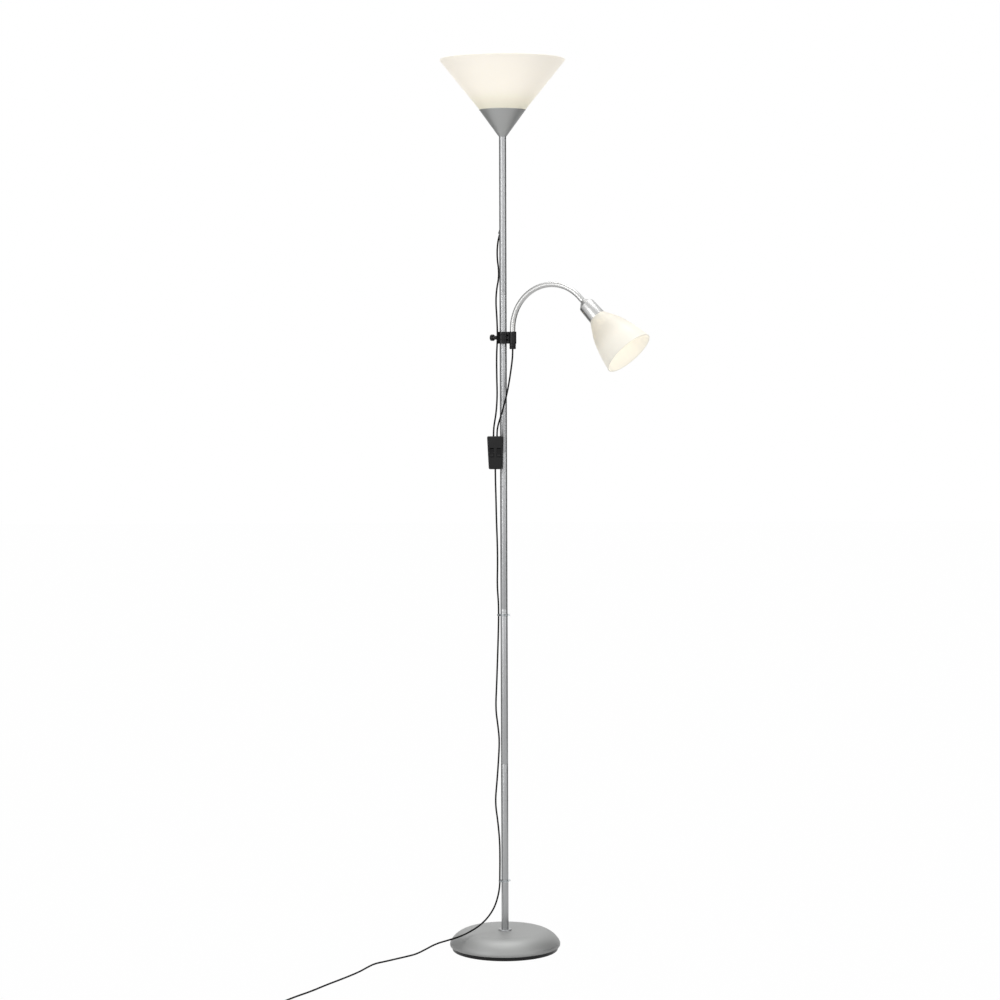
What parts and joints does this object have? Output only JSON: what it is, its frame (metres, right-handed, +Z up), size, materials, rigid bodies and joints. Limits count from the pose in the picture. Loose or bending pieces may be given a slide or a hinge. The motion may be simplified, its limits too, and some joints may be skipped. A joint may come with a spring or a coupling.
{
  "type": "torchiere floor lamp with reading light",
  "caption": "Slim floor lamp: upward cone shade on a sectional pole, clamped reading light on a bendable neck, domed foot, inline rocker switch.",
  "frame": {"origin": "middle of the foot's underside, on the floor", "axes": "+Z up along the pole, -Y towards the viewer of the front, +X to the right, on the reading light's side"},
  "size_m": [0.7848, 0.6842, 1.8001],
  "materials": {
    "silver_paint": "satin",
    "foot_paint": "satin",
    "neck_sleeve": "satin",
    "black_plastic": "matte",
    "black_cord": "satin",
    "frosted_shade": "satin",
    "white_plastic": "satin",
    "clear_plastic": "glossy",
    "cast_iron": "rough",
    "zinc_steel": "satin",
    "brass": "satin",
    "bulb_glass": "frosted",
    "bulb_cap": "satin",
    "nickel": "polished",
    "rubber": "matte"
  },
  "bodies": {
    "stand": {"base_cover": "foot_paint", "base_tray": "black_plastic", "base_weight": "cast_iron", "base_nut": "zinc_steel", "base_stud": "zinc_steel", "pole_collar": "silver_paint", "pole_tube_1": "silver_paint", "pole_tube_2": "silver_paint", "pole_tube_3": "silver_paint", "pole_tube_4": "silver_paint", "pole_tube_5": "silver_paint", "pole_couplers": "zinc_steel", "cord_grommet": "rubber", "shade_cup": "silver_paint", "top_nipple": "zinc_steel", "top_nut": "zinc_steel", "top_lampholder": "white_plastic", "top_socket_contacts": "brass", "upper_shade": "frosted_shade", "upper_shade_ring": "white_plastic", "top_bulb_cap": "bulb_cap", "top_bulb_glass": "bulb_glass", "switch_front": "black_plastic", "switch_back": "black_plastic", "switch_contacts": "brass", "switch_hardware": "zinc_steel", "cable_clips": "clear_plastic", "upper_cord_inner": "black_cord", "upper_cord": "black_cord", "arm_cord": "black_cord", "mains_cord": "black_cord", "mains_coil": "black_cord", "plug_body": "black_plastic", "plug_pins": "nickel", "plug_relief": "rubber"},
    "clamp_liner": {"clamp_liner": "black_plastic"},
    "clamp": {"clamp_body": "black_plastic", "clamp_insert": "brass", "arm_ferrule": "black_plastic", "neck_foot": "neck_sleeve", "neck_lead": "black_cord"},
    "clamp_screw": {"clamp_screw": "zinc_steel"},
    "clamp_knob": {"clamp_knob": "black_plastic"},
    "reading_head": {"neck_end": "neck_sleeve", "reading_cap": "silver_paint", "head_nut": "zinc_steel", "reading_lampholder": "white_plastic", "reading_socket_contacts": "brass", "reading_shade": "frosted_shade", "reading_shade_ring": "white_plastic", "reading_bulb_cap": "bulb_cap", "reading_bulb_glass": "bulb_glass"},
    "rocker_upper_light": {"rocker_upper_light": "black_plastic"},
    "rocker_reading_light": {"rocker_reading_light": "black_plastic"},
    "neck_1": {"neck_link_1": "neck_sleeve"},
    "neck_2": {"neck_link_2": "neck_sleeve"},
    "neck_3": {"neck_link_3": "neck_sleeve"},
    "neck_4": {"neck_link_4": "neck_sleeve"},
    "neck_5": {"neck_link_5": "neck_sleeve"},
    "neck_6": {"neck_link_6": "neck_sleeve"}
  },
  "joints": [
    {"name": "clamp_height", "type": "slide", "parent": "stand", "child": "clamp_liner", "axis": [0, 0, 1], "range_m": [-0.06, 0], "deforming": ["arm_cord"]},
    {"name": "clamp_swing", "type": "hinge", "parent": "clamp_liner", "child": "clamp", "pos_m": [0, 0, 1.245], "axis": [0, 0, 1], "range_deg": [-75, 40], "deforming": ["arm_cord"]},
    {"name": "clamp_screw_travel", "type": "slide", "parent": "clamp", "child": "clamp_screw", "axis": [-0.8746, 0.4848, 0], "range_m": [0, 0.0012]},
    {"name": "clamp_knob_turn", "type": "hinge", "parent": "clamp_screw", "child": "clamp_knob", "pos_m": [-0.01907, 0.01057, 1.245], "axis": [-0.8746, 0.4848, 0], "range_deg": [0, 540]},
    {"name": "neck_bend_1", "type": "hinge", "parent": "clamp", "child": "neck_1", "pos_m": [0.02113, -0.01171, 1.28273], "axis": [0.4848, 0.8746, 0], "range_deg": [-24, 10], "deforming": ["neck_lead"]},
    {"name": "neck_bend_2", "type": "hinge", "parent": "neck_1", "child": "neck_2", "pos_m": [0.03766, -0.02087, 1.31965], "axis": [0.4848, 0.8746, 0], "range_deg": [-24, 10], "deforming": ["neck_lead"]},
    {"name": "neck_side_1", "type": "hinge", "parent": "neck_2", "child": "neck_3", "pos_m": [0.0511, -0.02833, 1.33378], "axis": [0.5116, -0.2836, -0.8111], "range_deg": [-20, 20], "deforming": ["neck_lead"]},
    {"name": "neck_bend_3", "type": "hinge", "parent": "neck_3", "child": "neck_4", "pos_m": [0.06707, -0.03718, 1.34391], "axis": [0.4848, 0.8746, 0], "range_deg": [-24, 10], "deforming": ["neck_lead"]},
    {"name": "neck_bend_4", "type": "hinge", "parent": "neck_4", "child": "neck_5", "pos_m": [0.10293, -0.05705, 1.35018], "axis": [0.4848, 0.8746, 0], "range_deg": [-24, 10], "deforming": ["neck_lead"]},
    {"name": "neck_side_2", "type": "hinge", "parent": "neck_5", "child": "neck_6", "pos_m": [0.12082, -0.06697, 1.34598], "axis": [-0.2761, 0.153, -0.9489], "range_deg": [-20, 20], "deforming": ["neck_lead"]},
    {"name": "neck_bend_5", "type": "hinge", "parent": "neck_6", "child": "reading_head", "pos_m": [0.13734, -0.07613, 1.33709], "axis": [0.4848, 0.8746, 0], "range_deg": [-24, 10], "deforming": ["neck_lead"]},
    {"name": "rocker_upper_light_press", "type": "hinge", "parent": "stand", "child": "rocker_upper_light", "pos_m": [-0.0237, -0.0239, 1.015], "axis": [-1, 0, 0], "range_deg": [0, 16]},
    {"name": "rocker_reading_light_press", "type": "hinge", "parent": "stand", "child": "rocker_reading_light", "pos_m": [-0.0097, -0.0239, 1.015], "axis": [-1, 0, 0], "range_deg": [0, 16]}
  ],
  "couplings": [
    {"joint": "neck_bend_2", "follows": "neck_bend_1", "ratio": 1},
    {"joint": "neck_bend_3", "follows": "neck_bend_1", "ratio": 1},
    {"joint": "neck_bend_4", "follows": "neck_bend_1", "ratio": 1},
    {"joint": "neck_side_2", "follows": "neck_side_1", "ratio": 1},
    {"joint": "neck_bend_5", "follows": "neck_bend_1", "ratio": 1},
    {"joint": "clamp_knob_turn", "follows": "clamp_screw_travel", "rad_per_m": 7854}
  ]
}
